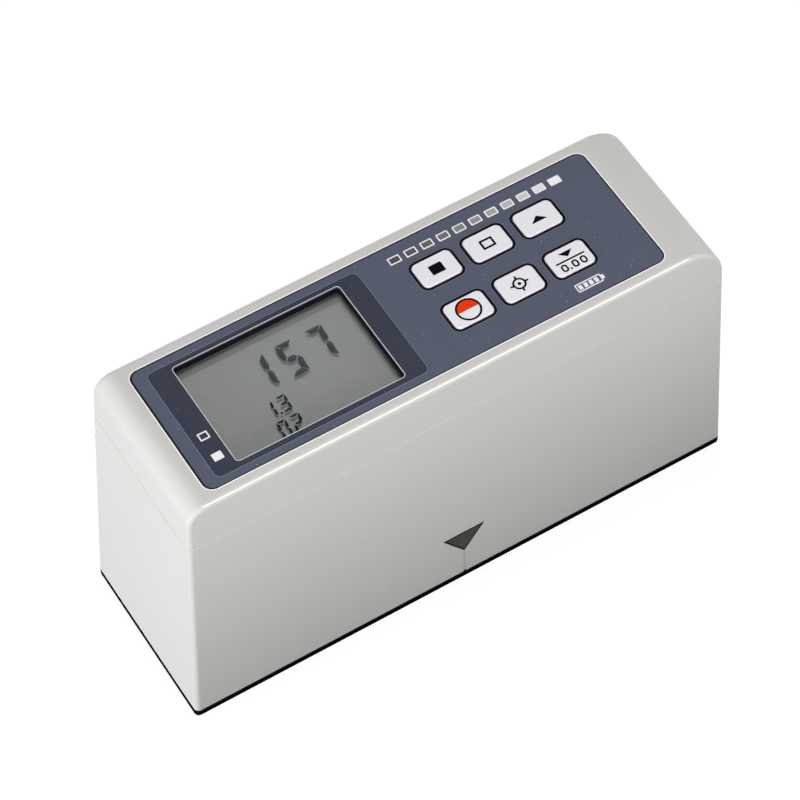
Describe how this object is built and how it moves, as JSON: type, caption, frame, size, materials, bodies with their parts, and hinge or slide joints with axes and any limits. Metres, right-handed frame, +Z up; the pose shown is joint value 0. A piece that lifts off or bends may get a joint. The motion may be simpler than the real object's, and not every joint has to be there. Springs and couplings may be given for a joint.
{
  "type": "reflectance meter",
  "caption": "Hand-held reflectance meter: tall light-grey box on a black base plate, with a measuring port underneath and a display and white push keys in a blue-grey top panel.",
  "frame": {"origin": "middle of the base plate's underside, which stands on the sample", "axes": "+X along the box, to the right as the panel is read; +Y to the back; +Z up"},
  "size_m": [0.14, 0.045, 0.0752],
  "materials": {
    "shell_grey": "fine satin moulding",
    "base_black": "fine matt moulding",
    "panel_film": "printed film with a clear gloss face",
    "clear_pane": "clear polished",
    "display_glass": "satin polariser",
    "strip_rubber": "matt",
    "board_green": "solder mask",
    "key_white": "satin moulding",
    "plunger_red": "matt moulding",
    "black_plastic": "matt moulding",
    "optics_black": "dead matt, keeps stray light down",
    "steel": "plated",
    "terminal_brass": "plain",
    "nickel": "nickel plated",
    "lens_glass": "polished",
    "filter_glass": "polished",
    "led_clear": "clear epoxy",
    "lead_red": "insulated wire",
    "lead_blue": "insulated wire",
    "ribbon_grey": "flat cable",
    "socket_cream": "moulded",
    "cell_can": "sleeved can",
    "part_silver": "plain can"
  },
  "bodies": {
    "housing": {"body_shell": "shell_grey", "top_cover": "shell_grey", "base_plate": "base_black", "panel_overlay": "panel_film", "display_window": "clear_pane", "lcd_glass": "display_glass", "zebra_strips": "strip_rubber", "main_board": "board_green", "lamp_board": "board_green", "detector_board": "board_green", "lcd_frame": "black_plastic", "switch_bodies": "black_plastic", "control_chip": "black_plastic", "lamp_holder": "black_plastic", "battery_case": "black_plastic", "battery_holder": "black_plastic", "data_jack": "black_plastic", "optics_block": "optics_black", "aperture_ring": "optics_black", "board_screws": "steel", "optics_screws": "steel", "detector_screws": "steel", "base_screws": "steel", "cover_screws": "steel", "battery_springs": "steel", "contact_plates": "steel", "battery_terminals": "terminal_brass", "photodiode": "terminal_brass", "jack_nut": "nickel", "lamp_lens": "lens_glass", "detector_lens": "lens_glass", "colour_filter": "filter_glass", "lamp_led": "led_clear", "lamp_leads": "lead_red", "battery_leads": "lead_red", "jack_leads": "lead_blue", "ribbon_cable": "ribbon_grey", "ribbon_sockets": "socket_cream", "battery_cell_1": "cell_can", "battery_cell_2": "cell_can", "battery_cell_3": "cell_can", "battery_cell_4": "cell_can", "board_parts": "part_silver"},
    "button_dark_reading": {"key_dark_reading": "key_white", "plunger_dark_reading": "plunger_red"},
    "button_light_reading": {"key_light_reading": "key_white", "plunger_light_reading": "plunger_red"},
    "button_up": {"key_up": "key_white", "plunger_up": "plunger_red"},
    "button_power": {"key_power": "key_white", "plunger_power": "plunger_red"},
    "button_calibrate": {"key_calibrate": "key_white", "plunger_calibrate": "plunger_red"},
    "button_down": {"key_down": "key_white", "plunger_down": "plunger_red"},
    "door": {"battery_door": "base_black"}
  },
  "joints": [
    {"name": "press_dark_reading", "type": "slide", "parent": "housing", "child": "button_dark_reading", "axis": [0, 0, -1], "range_m": [0, 0.0004], "stiffness_N_per_m": 1500},
    {"name": "press_light_reading", "type": "slide", "parent": "housing", "child": "button_light_reading", "axis": [0, 0, -1], "range_m": [0, 0.0004], "stiffness_N_per_m": 1500},
    {"name": "press_up", "type": "slide", "parent": "housing", "child": "button_up", "axis": [0, 0, -1], "range_m": [0, 0.0004], "stiffness_N_per_m": 1500},
    {"name": "press_power", "type": "slide", "parent": "housing", "child": "button_power", "axis": [0, 0, -1], "range_m": [0, 0.0004], "stiffness_N_per_m": 1500},
    {"name": "press_calibrate", "type": "slide", "parent": "housing", "child": "button_calibrate", "axis": [0, 0, -1], "range_m": [0, 0.0004], "stiffness_N_per_m": 1500},
    {"name": "press_down", "type": "slide", "parent": "housing", "child": "button_down", "axis": [0, 0, -1], "range_m": [0, 0.0004], "stiffness_N_per_m": 1500},
    {"name": "door_slide", "type": "slide", "parent": "housing", "child": "door", "axis": [1, 0, 0], "range_m": [0, 0.0335]}
  ]
}
